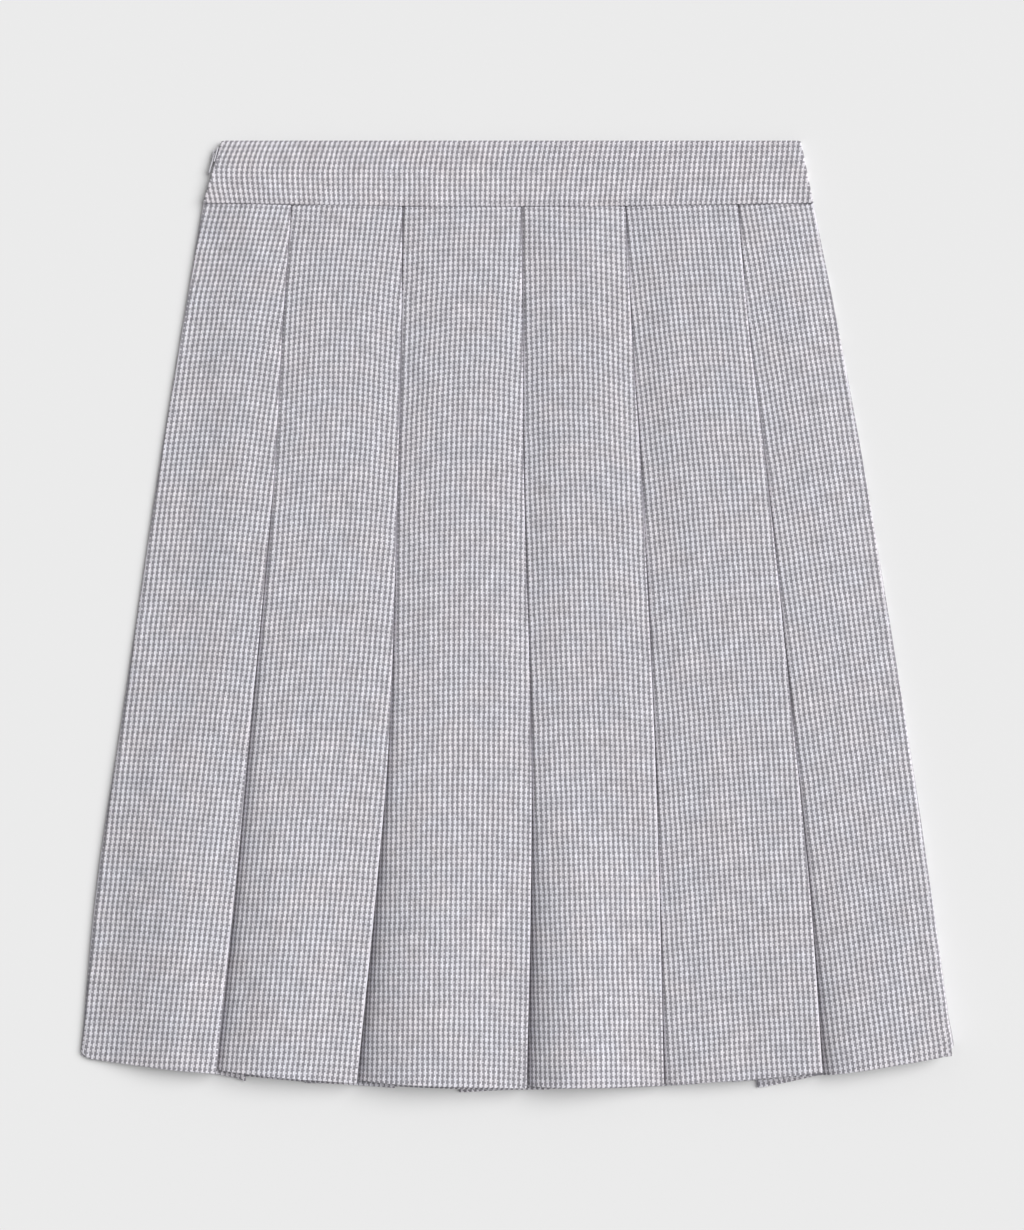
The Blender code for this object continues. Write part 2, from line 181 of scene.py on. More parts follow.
# ---- grain ----
# The cloth's columns lean and its rows slope a little differently in each panel. Both are a shift
# per unit of length, at the grain stations, with down and right counted as positive.
GRAIN_STATIONS = (20.0, 90.0, 236.0, 416.0)
COLUMN_LEAN = (
    # waist   hip    thigh   knee
    (-0.235, -0.140, -0.118, -0.115),
    (-0.120, -0.042, -0.090, -0.097),
    (-0.040, -0.040, -0.005, -0.017),
    (0.019, 0.019, 0.038, 0.030),
    (0.105, 0.105, 0.079, 0.058),
    (0.170, 0.150, 0.135, 0.117),
)
ROW_SLOPE = (
    # waist   hip    thigh   knee
    (0.040, 0.035, 0.030, 0.045),
    (0.030, 0.025, 0.000, 0.020),
    (-0.030, -0.060, -0.030, 0.000),
    (0.050, 0.060, 0.010, -0.020),
    (-0.040, -0.070, -0.100, -0.080),
    (-0.120, -0.200, -0.175, -0.170),
)
# In each panel the rows arch: they lie lower towards its edges, by this much for a unit squared.
ROW_ARCH = (0.0042, 0.0042, 0.0018, 0.0008)
ROW_ARCH_FULL = 85.0  # from this drop on
ARCH_SHARES = (0.5, 0.9, 1.0, 1.1, 0.65, 0.5)  # of the panels, from the left
ROW_STRETCH_WAIST = 0.955  # the rows lie closer at the waist than at the hem
ROW_STRETCH_HEM = 1.055
GRAIN_STEP = 10.0  # the lean is summed in steps of about this length
START_DROP = 300.0  # the columns are counted through the pleats at this drop

# ---- waistband ----
BAND_HEIGHT = 39.6
BAND_CLOTH = 1.6
BAND_TOPS = {"left": -175.5, "right": 171.5}  # ends of its upper edge
BAND_PROUD = 0.5
BAND_EDGE_FLAT = 8.6
BAND_SWELL_FULL = 28.0
# The columns of the waistband bow at the left: they stand this far to the right at its upper edge
# and at its lower one, and come straight by this share of its width. Further right they all lean.
BAND_BOW_UPPER = (6.4, 0.75)
BAND_BOW_LOWER = (2.7, 0.25)
BAND_BOW_POWER = 1.5
BAND_LEAN = 2.0  # sideways distance from the middle of such a column to each end
BAND_LEAN_FROM = 0.40  # share of the width where it starts, and over which it grows
BAND_LEAN_WIDTH = 0.25
BAND_CORNER = 2.0  # radius of the upper corners
BAND_DIP = 1.0  # the front half turns down into the seam by this much
BAND_DIP_REACH = 1.3
BAND_DIP_FADE = 6.0  # but not at its ends
BAND_SWELL = ((0.0, 1.0), (0.14, 0.8), (0.34, 0.3), (0.55, 0.0), (1.0, 0.0))

# ---- zip, closed inside the left seam ----
ZIP_LENGTH = 190.0  # from the waistband's upper edge
TAPE_START = 1.4
TAPE_WIDTH = 6.0
TAPE_INSET = 1.4  # from the inner face of the cloth's edge
TAPE_CLOTH = 0.4
TAPE_SHARES = (0.0, 0.3, 0.7, 1.0)
TAPE_FALL = 12.0  # it comes down from the waistband over this length
TAPE_ABOVE = 0.12  # its gap over the back
TAPE_STEP = 5.0
CHAIN_INSET = 1.0  # the chain ends this far inside the tape
TOOTH = (1.3, 0.75, 0.45)
TOOTH_PITCH = 1.25
TOOTH_SHIFT = 0.3
TOOTH_PROUD = 0.4  # share of its height by which its middle stands off the tape

# ---- fineness of the grids ----
RISE_OFFSETS = (0.0, 0.3, 0.6, 1.0, 1.5, 2.2, 3.2, 4.5, 6.2, 8.6, 11.6, 15.2, 20.0)
EDGE_OFFSETS = (13.0, 9.0, 6.0, 4.0, 2.6, 1.7)
FIRST_OFFSETS = (0.0, 2.0, 5.0, 9.0, 14.0, 20.0)
PANEL_STEPS = 10
HIDDEN_SHARES = (0.08, 0.35, 0.65, 0.92)
FOLD_FACETS = 6
CURL_FACETS = 6
LAST_PANEL_STEPS = 16
BACK_STEPS = 12
BACK_EDGE_OFFSETS = (30.0, 12.0, 5.0, 2.6)
BACK_LAST_STEPS = 8
BACK_LAST_RUN = 26.0
BAND_STEPS = 110
ROW_STEP = 5.0
BACK_ROW_STEP = 7.0
BAND_ROW_STEP = 1.6
EDGE_ROWS = (0.0, 0.12, 0.35, 0.7, 1.2, 2.0, 3.2, 5.0, 8.0)  # distances from a hem or a seam
RIM_ROUND = 0.9  # a turned edge is rounded over this width
RIM_LEFT = 0.25  # share of the thickness left at the very edge

# ---- yarns and light ----
THREADS = 4.0  # in one repeat of the check
THREAD_SWAY = 1.1 * MM  # the threads wander sideways within this
WARP_RELIEF = (0.55, 1.0)  # height of a warp float at its ends and at its middle
WEFT_RELIEF = 0.5
PAINTED_HOLLOW_SHADE = (0.80, 1.04)  # painted shade between the threads and a painted highlight on their crowns, following the yarns' height
FLOAT_WEIGHT = 0.45  # parts of single floats and of slubs in how uneven the yarns are
SLUB_WEIGHT = 0.55
SPUN_GAIN = 5.0
WARP_SLUBS = 160.0  # in a metre of yarn
WEFT_SLUBS = 140.0
WEFT_SEED = 7.3  # sets the weft's slubs off from the warp's
CLOUD_WEIGHT = 1.65  # parts of clouds and of fibres in the melange
FIBRE_WEIGHT = 0.55
SHADE_GAIN = 4.0
YARN_BUMP = 0.22 * MM
NAP_BUMP = 0.12 * MM
TAPE_BUMP = 0.1 * MM
SCRATCH_BUMP = 0.03 * MM
# Place on the ramp and colour of the melange's two tints, the cooler one first.
WANDERING_TINT = ((0.36, (0.988, 0.993, 1.016)), (0.64, (1.016, 0.995, 0.998)))
WOOL_SHADES = {"skirt wool": (1.0, 0.0), "waistband wool": (1.03, 0.008)}  # brightness, warmth
NODE_SPACING = 180
SENSOR_WIDTH = 36.0
CAMERA_PLACE = (-1.5, 0.2)  # x and y
FLOOR_REACH = 8.0  # metres
KEY_TOWARDS = (0.66, 0.28, 0.76)
KEY_ANGLE = 50.0  # degrees that the key light spans

HALF_LENGTH = (BAND_HEIGHT + SKIRT_DROP + BACK_LONGER) / 2
SEAM_Y = HALF_LENGTH - BAND_HEIGHT
TURN = CLOTH / 2


# ---- curves ----
def between(start, end, share):
    return start + (end - start) * share


def evenly(start, end, steps):
    """The ends of equal steps from start to end."""
    return [between(start, end, (step + 1) / steps) for step in range(steps)]


def ease(share):
    """A smooth step from 0 to 1."""
    share = min(max(share, 0.0), 1.0)
    return share * share * (3 - 2 * share)


def quarter(share):
    """Height of a quarter circle at a share of its width."""
    share = min(max(share, 0.0), 1.0)
    return math.sqrt(1 - (1 - share) ** 2)


def bell(distance, reach):
    """1 at no distance, and fading out beyond a reach."""
    return math.exp(-((distance / reach) ** 2))


def read_off(table, share, shaped=float):
    """A value from a table of (share, value), straight between its places unless shaped."""
    for (low, low_value), (high, high_value) in pairwise(table):
        if share <= high:
            return between(low_value, high_value, shaped((share - low) / (high - low)))
    return table[-1][1]


def lengths_along(points):
    """Length of a path from its start to each of its points."""
    return [0.0, *accumulate(math.dist(a, b) for a, b in pairwise(points))]


def path_length(points):
    return lengths_along(points)[-1]


def along(values, drop):
    """A smooth curve through one value for each station, read at a drop below the seam."""
    last = len(STATIONS) - 1
    drop = min(max(drop, 0.0), SKIRT_DROP)
    cell = max(index for index in range(last) if STATIONS[index] <= drop)

    def slope(index):
        low = max(index - 1, 0)
        high = min(index + 1, last)
        return (values[high] - values[low]) / (STATIONS[high] - STATIONS[low])

    span = STATIONS[cell + 1] - STATIONS[cell]
    share = (drop - STATIONS[cell]) / span
    leaving = span * slope(cell) * share * (1 - share) ** 2
    arriving = span * slope(cell + 1) * share * share * (share - 1)
    return between(values[cell], values[cell + 1], ease(share)) + leaving + arriving


def near_hem(drop, start):
    """0 above a drop, and from there rising to 1 at the hem."""
    return ease((drop - start) / (SKIRT_DROP - start))


# ---- levels and folds ----
def side_x(side, drop):
    return along(SIDE_LINES[side], drop)


def level_y(x, drop):
    left = side_x("left", drop)
    right = side_x("right", drop)
    sag = between(SEAM_SAG, HEM_SAG, drop / SKIRT_DROP)
    return SEAM_Y - drop + sag * ((2 * x - left - right) / (right - left)) ** 2


def ply_pitch(drop):
    return CLOTH + between(PLY_GAP_WAIST, PLY_GAP_HEM, drop / SKIRT_DROP)


def stack_height(drop):
    return CLOTH + 2 * ply_pitch(drop)


def front_floor(x, drop):
    """Underside of the front: on the back's pleats, and sinking to the side seams."""
    middle = (side_x("left", drop) + side_x("right", drop)) / 2
    side = "left" if x < middle else "right"
    at_seam = CLOTH + SIDE_HOLLOW + between(*SIDE_PROUD[side], drop / SKIRT_DROP)
    on_pleats = stack_height(drop) + SEAM_GAP
    fall = between(*SIDE_FALLS[side], drop / SKIRT_DROP)
    return between(at_seam, on_pleats, ease(abs(side_x(side, drop) - x) / fall))


def creased(x, drop):
    """Height that the soft creases add at a point of the front."""
    total = 0.0
    for x_from, drop_from, x_to, drop_to, height, width in CREASES:
        along_x = x_to - x_from
        along_drop = drop_to - drop_from
        squared = along_x ** 2 + along_drop ** 2
        share = ((x - x_from) * along_x + (drop - drop_from) * along_drop) / squared
        off = ((x - x_from) * along_drop - (drop - drop_from) * along_x) / math.sqrt(squared)
        fading = ease(0.5 + CREASE_FADE * (0.5 - abs(share - 0.5)))
        total += height * fading * bell(off, width)
    return total


def looseness(run):
    """0 beside a fold edge that is stitched down, 1 beside one that lies free."""
    return ease((run - RUN_STITCHED) / (RUN_LOOSE - RUN_STITCHED))


def edge_pulled(gap, run):
    """Layers by which the stitching pulls the cloth down at a gap from the fold edge."""
    return EDGE_PULL * (1 - looseness(run)) * math.exp(-gap / EDGE_PULL_WIDTH)


def risen(offset, width, depth, rise, pitch):
    """Height above the pleat's root, at an offset to the right of a fold edge, in a panel."""
    steep, run, gentle = rise
    near = steep * (1 - math.exp(-((offset / run) ** STEEP_POWER)))
    near += gentle * (1 - math.exp(-offset / GENTLE_RUN))
    loose = looseness(run)
    middle = between(width - depth - IMPRINT_LEAD, SETTLING_MIDDLE * width, loose)
    step = between(IMPRINT_WIDTH, SETTLING_WIDTH * width, loose)
    return between(near, 2 * pitch, ease((offset - middle) / step + 0.5))


def fold_round(edge, side, low_layer):
    """Points round a fold: side 1 turns at the right and downwards, -1 at the left."""
    points = []
    for step in range(FOLD_FACETS + 1):
        angle = math.pi * step / FOLD_FACETS
        x = edge - side * 2 * TURN + side * TURN * math.sin(angle)
        points.append((x, low_layer + 0.5 + 0.5 * math.cos(angle)))
    return points


def under_run(edge, depth):
    """The two hidden layers of a pleat, from its fold edge to where the next panel comes out."""
    inner = edge - depth + 2 * TURN
    upper = [(between(edge - 2 * TURN, inner, share), 1.0) for share in HIDDEN_SHARES]
    lower = [(between(inner, edge, share), 0.0) for share in HIDDEN_SHARES]
    return [*fold_round(edge, 1, 1), *upper, *fold_round(edge - depth, -1, 0), *lower]


def side_curl(side_edge, inward, seam_z, flat_z, thickness, roll=0.0):
    """Points from a side seam to where the cloth lies flat, turning tightly or rolling."""
    upward = 1 if flat_z > seam_z else -1
    tall = max(SIDE_ROUND, ROLL_TALL * roll * abs(flat_z - seam_z))
    wide = max(SIDE_ROUND, roll * abs(flat_z - seam_z))
    turn_z = flat_z - upward * tall
    upright = side_edge + inward * thickness / 2
    lip = seam_z + upward * min(RIM_ROUND / 2, abs(turn_z - seam_z) / 2)
    points = [(upright, seam_z), (upright, lip), (upright, between(lip, turn_z, 0.5))]
    for step in range(CURL_FACETS + 1):
        angle = math.pi / 2 * step / CURL_FACETS
        x = upright + inward * wide * (1 - math.cos(angle))
        points.append((x, between(turn_z, flat_z, math.sin(angle))))
    return points


# ---- grain ----
def grain_value(values, drop):
    """A value given at the grain stations, at a drop."""
    last = len(values) - 2
    cell = min(sum(drop >= station for station in GRAIN_STATIONS[1:]), last)
    low, high = GRAIN_STATIONS[cell:cell + 2]
    return between(values[cell], values[cell + 1], ease((drop - low) / (high - low)))


def grain_shift(leans, drop):
    """How far a column of the check has moved sideways, from the waist seam to a drop."""
    steps = max(1, round(drop / GRAIN_STEP))
    length = drop / steps
    return sum(grain_value(leans, (step + 0.5) * length) * length for step in range(steps))


def row_stretched(down):
    """The rows of the cloth, counted in relaxed millimetres, at a distance below the seam."""
    growth = (ROW_STRETCH_HEM - ROW_STRETCH_WAIST) / SKIRT_DROP
    return math.log(1 + growth * down / ROW_STRETCH_WAIST) / growth


# ---- sheets ----
def rounded(distance):
    """Share of the thickness at a distance from a turned edge."""
    return between(RIM_LEFT, 1.0, quarter(distance / RIM_ROUND))


def seam_bite(x):
    """How deeply the waist seam bites at a place, from shallow to 1."""
    inside = [ease(0.5 + min(x - low, high - x) / SEAM_FADE) for low, high in SEAM_DEEP]
    return between(SEAM_SHALLOW, 1.0, max(inside))


def edge_distances(length, step):
    """Distances along a length, closer together at both of its ends."""
    ends = [distance for distance in EDGE_ROWS if distance < length / 3]
    inner = length - 2 * ends[-1]
    count = max(1, round(inner / step))
    middle = [ends[-1] + inner * index / count for index in range(1, count)]
    return ends + middle + [length - distance for distance in reversed(ends)]


def linked(name, data):
    """A new object in the scene."""
    made = bpy.data.objects.new(name, data)
    bpy.context.scene.collection.objects.link(made)
    return made


def object_from(shape, name, material):
    """An object at the origin with the shape of a bmesh, which it frees."""
    mesh = bpy.data.meshes.new(name)
    shape.to_mesh(mesh)
    shape.free()
    mesh.materials.append(material)
    return linked(name, mesh)


def sheet(name, rows, material):
    """A closed shell along rows of points (x, y, z, thickness, u, v), all in millimetres."""
    width = len(rows[0])
    height = len(rows)
    thickest = max(point[3] for row in rows for point in row)
    grid = bmesh.new()
    bmesh.ops.create_grid(grid, x_segments=width - 1, y_segments=height - 1, size=0.5)
    layer = grid.loops.layers.uv.new("cloth")
    places = {}
    shares = []
    for vertex in grid.verts:
        column = round((vertex.co.x + 0.5) * (width - 1))
        row = round((vertex.co.y + 0.5) * (height - 1))
        x, y, z, thickness, u, v = rows[row][column]
        vertex.co = Vector((x, y, z)) * MM
        places[vertex] = (u * MM, v * MM)
        shares.append(thickness / thickest)
    for face in grid.faces:
        face.smooth = True
        for loop in face.loops:
            loop[layer].uv = places[loop.vert]
    piece = object_from(grid, name, material)
    group = piece.vertex_groups.new(name="thickness")
    for index, share in enumerate(shares):
        group.add([index], share, "REPLACE")
    wall = piece.modifiers.new("wall", "SOLIDIFY")
    wall.thickness = thickest * MM
    wall.offset = 0.0
    wall.use_even_offset = True
    wall.use_quality_normals = True
    wall.vertex_group = group.name
    return piece


# ---- shape of the front ----
class FrontRow:
    """The front at one drop: where its points lie, and their places in the cloth."""

    def __init__(self, drop, starts=()):
        self.drop = drop
        self.starts = starts
        self.pitch = ply_pitch(drop)
        self.folds = [along(values, drop) for values in FRONT_FOLDS]
        self.edges = [side_x("left", drop), *self.folds, side_x("right", drop)]
        self.shifts = [grain_shift(leans, drop) for leans in COLUMN_LEAN]
        self.right_rise = along(RIGHT_EDGE_RISE, drop)
        self.lifts = [along(values, drop) for values in EDGE_LIFT]
        self.rises = [
            [along(values, drop) for values in tables]
            for tables in zip(STEEP_RISE, STEEP_RUN, GENTLE_RISE)
        ]

    def across(self, panel, x):
        """The column of the check at a place in a panel."""
        return self.starts[panel] + x - self.shifts[panel]

    def down(self, panel, x):
        """The row of the check at a place in a panel."""
        slope = grain_value(ROW_SLOPE[panel], self.drop)
        arch = ARCH_SHARES[panel] * grain_value(ROW_ARCH, self.drop)
        arch *= ease(self.drop / ROW_ARCH_FULL)
        off = x - (self.edges[panel] + self.edges[panel + 1]) / 2
        return row_stretched(SEAM_Y - level_y(x, self.drop) - slope * off - arch * off * off)

    def height(self, x, rise):
        """Middle of the cloth, at a rise above where the front would lie flat."""
        return front_floor(x, self.drop) + TURN + rise + creased(x, self.drop)

    def lifted(self, fold, x, share):
        """Height that a free fold edge adds, with its very edge rolling down again."""
        gap = self.folds[fold] - x
        rolled = EDGE_ROLL * math.exp(-max(gap, 0.0) / EDGE_ROLL_WIDTH)
        return share * self.lifts[fold] * (bell(gap, LIFT_WIDTH) - rolled)

    def hang(self, panel, x):
        """How far a panel's point lies below the level curve, near the hem."""
        start, end = self.edges[panel:panel + 2]
        from_left = x - self.edges[0]
        from_right = self.edges[-1] - x
        radius = CORNERS["left" if from_left < from_right else "right"]
        cut_off = radius * (1 - quarter(min(from_left, from_right) / radius))
        hanging = between(*HEM_HANG[panel], (x - start) / (end - start))
        hanging *= near_hem(self.drop, HEM_HANG_FROM)
        return hanging - cut_off * near_hem(self.drop, SKIRT_DROP - CORNER_REACH * radius)

    def placed(self, panel, x, z, u, v):
        return (x, level_y(x, self.drop) - self.hang(panel, x), z, u, v)

    def laid(self, panel, points):
        """A panel's points. The check keeps to the length of the cloth from its right edge."""
        end = self.across(panel, points[-1][0])
        return [
            self.placed(panel, x, z, end - path_length(points[index:]), self.down(panel, x))
            for index, (x, z) in enumerate(points)
        ]

    def panel(self, fold, start):
        """The panel that ends at a fold edge."""
        width = self.folds[fold] - start
        covered = width - FRONT_DEPTHS[fold]
        offsets = list(RISE_OFFSETS if fold else FIRST_OFFSETS)
        offsets += evenly(offsets[-1], width - EDGE_OFFSETS[0], PANEL_STEPS)[:-1]
        offsets += [width - gap for gap in EDGE_OFFSETS]
        points = []
        for offset in offsets:
            x = start + offset
            if fold:
                rise = risen(offset, width, FRONT_DEPTHS[fold], self.rises[fold - 1], self.pitch)
            else:
                stepped = ease((offset - covered) / FIRST_STEP_WIDTH + FIRST_STEP_SHIFT)
                rise = 2 * self.pitch * stepped
            rise -= self.pitch * edge_pulled(width - offset, self.rises[fold][1])
            points.append((x, self.height(x, rise) + self.lifted(fold, x, 1.0)))
        return self.laid(fold, points)

    def last_panel(self, start, end):
        """The panel from the last fold to the right side seam."""
        width = end - start
        points = []
        for offset in (*RISE_OFFSETS, *evenly(RISE_OFFSETS[-1], width, LAST_PANEL_STEPS)):
            near = risen(offset, 2 * width, 0.0, self.rises[-1], self.pitch)
            rise = between(near, self.right_rise, ease(offset / width))
            points.append((start + offset, self.height(start + offset, rise)))
        return self.laid(len(self.folds), points)

    def pleat(self, fold, before, after):
        """The hidden layers of a pleat, between the points before and after them in the row."""
        edge = self.folds[fold]
        under = []
        for x, layer in under_run(edge, FRONT_DEPTHS[fold]):
            pull = edge_pulled(max(edge - x, 0.0), self.rises[fold][1]) * max(layer - 1.0, 0.0)
            z = self.height(x, self.pitch * (layer - pull)) + self.lifted(fold, x, layer / 2)
            under.append((x, z))
        lengths = lengths_along(under)
        total = lengths[-1] + math.dist(before[0:3:2], under[0])
        row = []
        for (x, z), length in zip(under, lengths):
            share = 1 - (lengths[-1] - length) / total
            hang = between(self.hang(fold, edge), self.hang(fold + 1, edge), share)
            u, v = (between(first, last, share) for first, last in zip(before[3:], after[3:]))
            row.append((x, level_y(x, self.drop) - hang, z, u, v))
        return row

    def points(self):
        """The whole row, from the left side seam to the right one, as (x, y, z, u, v)."""
        seam_z = CLOTH + SIDE_HOLLOW / 2 + SEAM_GAP / 2
        left, right = (
            side_curl(x, inward, seam_z, self.height(x, rise), CLOTH, roll)
            for x, inward, rise, roll in (
                (self.edges[0], 1, 0.0, SIDE_ROLLS["left"]),
                (self.edges[-1], -1, self.right_rise, SIDE_ROLLS["right"]),
            )
        )
        last = len(self.folds)
        starts = [left[-1][0], *self.folds]
        panels = [self.panel(fold, starts[fold]) for fold in range(last)]
        panels.append(self.last_panel(starts[-1], right[-1][0]))
        u, v = panels[0][0][3:]
        row = [
            self.placed(0, x, z, u - path_length(left[index:]), v)
            for index, (x, z) in enumerate(left[:-1])
        ]
        for fold in range(last):
            row += panels[fold]
            row += self.pleat(fold, panels[fold][-1], panels[fold + 1][0])
        row += panels[last]
        u, v = panels[last][-1][3:]
        for index in range(len(right) - 2, -1, -1):
            row.append(self.placed(last, *right[index], u + path_length(right[index:]), v))
        return row


def front_starts():
    """Where each panel's check starts, so that the cloth runs on through the pleats."""
    row = FrontRow(START_DROP)
    starts = [0.0]
    for fold, edge in enumerate(row.folds):
        under = [(x, layer * row.pitch) for x, layer in under_run(edge, FRONT_DEPTHS[fold])]
        reached = starts[-1] + edge - row.shifts[fold] + path_length(under)
        starts.append(reached - edge + row.shifts[fold + 1])
    return starts


def front_rows():
    starts = front_starts()
    rows = []
    for up in edge_distances(SKIRT_DROP, ROW_STEP):
        drop = SKIRT_DROP - up
        row = []
        for x, y, z, u, v in FrontRow(drop, starts).points():
            bite = seam_bite(x)
            thickness = CLOTH * rounded(up) * between(1.0, rounded(drop), bite)
            dip = SEAM_DIP * bell(drop, SEAM_DIP_REACH)
            row.append((x, y, z - dip * bite, thickness, u, v))
        rows.append(row)
    return rows


# ---- shape of the back ----
def back_path(drop):
    """One row of the back as seen from behind, and its tails as (index, extra, width)."""
    seam_z = CLOTH + SIDE_HOLLOW / 2 - SEAM_GAP / 2
    left = -side_x("right", drop)
    right = -side_x("left", drop)
    path = side_curl(left, 1, seam_z, TURN, CLOTH)
    tails = []

    def lay(points):
        path.extend((x, TURN + (2 - layer) * ply_pitch(drop)) for x, layer in points)

    start = path[-1][0]
    for fold, fold_share in enumerate(BACK_FOLD_SHARES):
        edge = between(left, right, fold_share)
        stretch = edge - BACK_DEPTH - 2 * TURN - start
        for share in evenly(0.0, 1.0, BACK_STEPS):
            lay([(start + stretch * share, read_off(SETTLING, share) if fold else 2.0)])
        lay((edge - gap, 2.0) for gap in BACK_EDGE_OFFSETS)
        outer, outer_width, inner, inner_width = BACK_TAILS[fold]
        outer_at = len(path) + FOLD_FACETS // 2
        inner_at = outer_at + FOLD_FACETS + 1 + len(HIDDEN_SHARES)
        tails += [(outer_at, outer, outer_width), (inner_at, inner, inner_width)]
        lay(under_run(edge, BACK_DEPTH))
        start = edge
    for share in evenly(0.0, 1.0, BACK_LAST_STEPS):
        lay([(start + BACK_LAST_RUN * share, read_off(SETTLING, share))])
    path += reversed(side_curl(right, -1, seam_z, TURN, CLOTH))
    return path, tails


def back_rows():
    """The back is worked out as seen from behind, and then turned over."""
    rows = []
    for up in edge_distances(SKIRT_DROP, BACK_ROW_STEP):
        drop = SKIRT_DROP - up
        path, tails = back_path(drop)
        places = lengths_along(path)
        thickness = CLOTH * rounded(up) * rounded(drop)
        row = []
        for (x, z), place in zip(path, places):
            tail = sum(extra * bell(place - places[at], width) for at, extra, width in tails)
            y = level_y(-x, drop) - BACK_LONGER * drop / SKIRT_DROP
            v = row_stretched(SEAM_Y - y)
            y -= tail * near_hem(drop, BACK_TAILS_FROM)
            row.append((-x, y, z, thickness, places[-1] / 2 - place, v))
        rows.append(row)
    return rows


# ---- shape of the waistband ----
def band_end_x(side, share):
    return between(side_x(side, 0.0), BAND_TOPS[side], share)


def band_column(x, share):
    """The column of the check at a point of the waistband."""
    across = (x - BAND_TOPS["left"]) / (BAND_TOPS["right"] - BAND_TOPS["left"])
    off_middle = 2 * share - 1
    leaned = BAND_LEAN * ease((across - BAND_LEAN_FROM) / BAND_LEAN_WIDTH) * off_middle
    shift, end = BAND_BOW_UPPER if off_middle > 0 else BAND_BOW_LOWER
    return x - leaned - shift * max(1 - across / end, 0.0) * abs(off_middle) ** BAND_BOW_POWER


def band_y(x, share):
    side = "left" if x < 0 else "right"
    off_end = abs(band_end_x(side, share) - x)
    cut_off = BAND_CORNER * (1 - quarter(off_end / BAND_CORNER))
    return between(level_y(x, 0.0), HALF_LENGTH - cut_off, share)


def turned(path, index, flat):
    """What the waistband's turned ends, each of so many points, add to a point's column."""
    right = len(path) - 1 - flat
    if index < flat:
        return path[flat][0] - path[index][0] - path_length(path[index:flat + 1])
    if index > right:
        return path[right][0] - path[index][0] + path_length(path[right:index + 1])
    return 0.0


def band_rows(is_front):
    side = 1 if is_front else -1
    seam_z = BAND_CLOTH + BAND_HOLLOW / 2 + side * SEAM_GAP / 2
    flat_z = BAND_CLOTH * 1.5 + BAND_HOLLOW if is_front else BAND_CLOTH / 2
    swollen = 2 * stack_height(0.0) + SEAM_GAP + BAND_PROUD
    rows = []
    for up in edge_distances(BAND_HEIGHT, BAND_ROW_STEP):
        share = up / BAND_HEIGHT
        left = band_end_x("left", share)
        right = band_end_x("right", share)
        path = side_curl(left, 1, seam_z, flat_z, BAND_CLOTH)
        flat = len(path) - 1
        first = path[-1][0]
        last = left + right - first
        for step in range(1, BAND_STEPS):
            x = between(first, last, 0.5 - 0.5 * math.cos(math.pi * step / BAND_STEPS))
            off_end = min(x - left, right - x) - BAND_EDGE_FLAT
            swell = ease(off_end / (BAND_SWELL_FULL - BAND_EDGE_FLAT))
            swell *= read_off(BAND_SWELL, share, ease)
            top = between(BAND_CLOTH * 2 + BAND_HOLLOW, swollen, swell)
            path.append((x, top - BAND_CLOTH / 2 if is_front else BAND_CLOTH / 2))
        path += reversed(side_curl(right, -1, seam_z, flat_z, BAND_CLOTH))
        row = []
        for index, (x, z) in enumerate(path):
            bite = seam_bite(x) if is_front else 1.0
            thickness = BAND_CLOTH * rounded(BAND_HEIGHT - up) * between(1.0, rounded(up), bite)
            if is_front:
                dip = BAND_DIP * bell(up, BAND_DIP_REACH)
                z -= dip * ease(min(x - left, right - x) / BAND_DIP_FADE) * bite
            u = band_column(x, share) + turned(path, index, flat)
            row.append((x, band_y(x, share), z, thickness, u, BAND_HEIGHT - up))
        rows.append(row)
    return rows


# ---- shape of the zip ----
def zip_place(length):
    """Left edge, y and z of the tape at a length down from the waistband's upper edge."""
    drop = length - BAND_HEIGHT
    share = -drop / BAND_HEIGHT
    edge = side_x("left", drop) + CLOTH if drop > 0 else band_end_x("left", share) + BAND_CLOTH
    x = edge + TAPE_INSET
    y = level_y(x, drop) if drop > 0 else between(level_y(x, 0.0), HALF_LENGTH, share)
    z = between(BAND_CLOTH, CLOTH, ease(drop / TAPE_FALL)) + TAPE_ABOVE + TAPE_CLOTH / 2
    return x, y, z


def tape_rows():
    rows = []
    steps = int(ZIP_LENGTH / TAPE_STEP)
    for step in range(steps, -1, -1):
        length = between(TAPE_START, ZIP_LENGTH, step / steps)
        left, y, z = zip_place(length)
        places = [TAPE_WIDTH * share for share in TAPE_SHARES]
        rows.append([(left + place, y, z, TAPE_CLOTH, place, length) for place in places])
    return rows


def zip_teeth(name, material):
    """The closed chain: one tooth after another, from the left tape and the right in turn."""
    shape = bmesh.new()
    count = int((ZIP_LENGTH - TAPE_START - 2 * CHAIN_INSET) / TOOTH_PITCH)
    for index in range(count):
        left, y, z = zip_place(TAPE_START + CHAIN_INSET + index * TOOTH_PITCH)
        x = left + TAPE_WIDTH / 2 + (TOOTH_SHIFT if index % 2 else -TOOTH_SHIFT)
        place = Vector((x, y, z + TAPE_CLOTH / 2 + TOOTH[2] * TOOTH_PROUD)) * MM
        made = bmesh.ops.create_cube(shape, size=1.0)
        bmesh.ops.scale(shape, vec=Vector(TOOTH) * MM, verts=made["verts"])
        bmesh.ops.translate(shape, vec=place, verts=made["verts"])
    return object_from(shape, name, material)


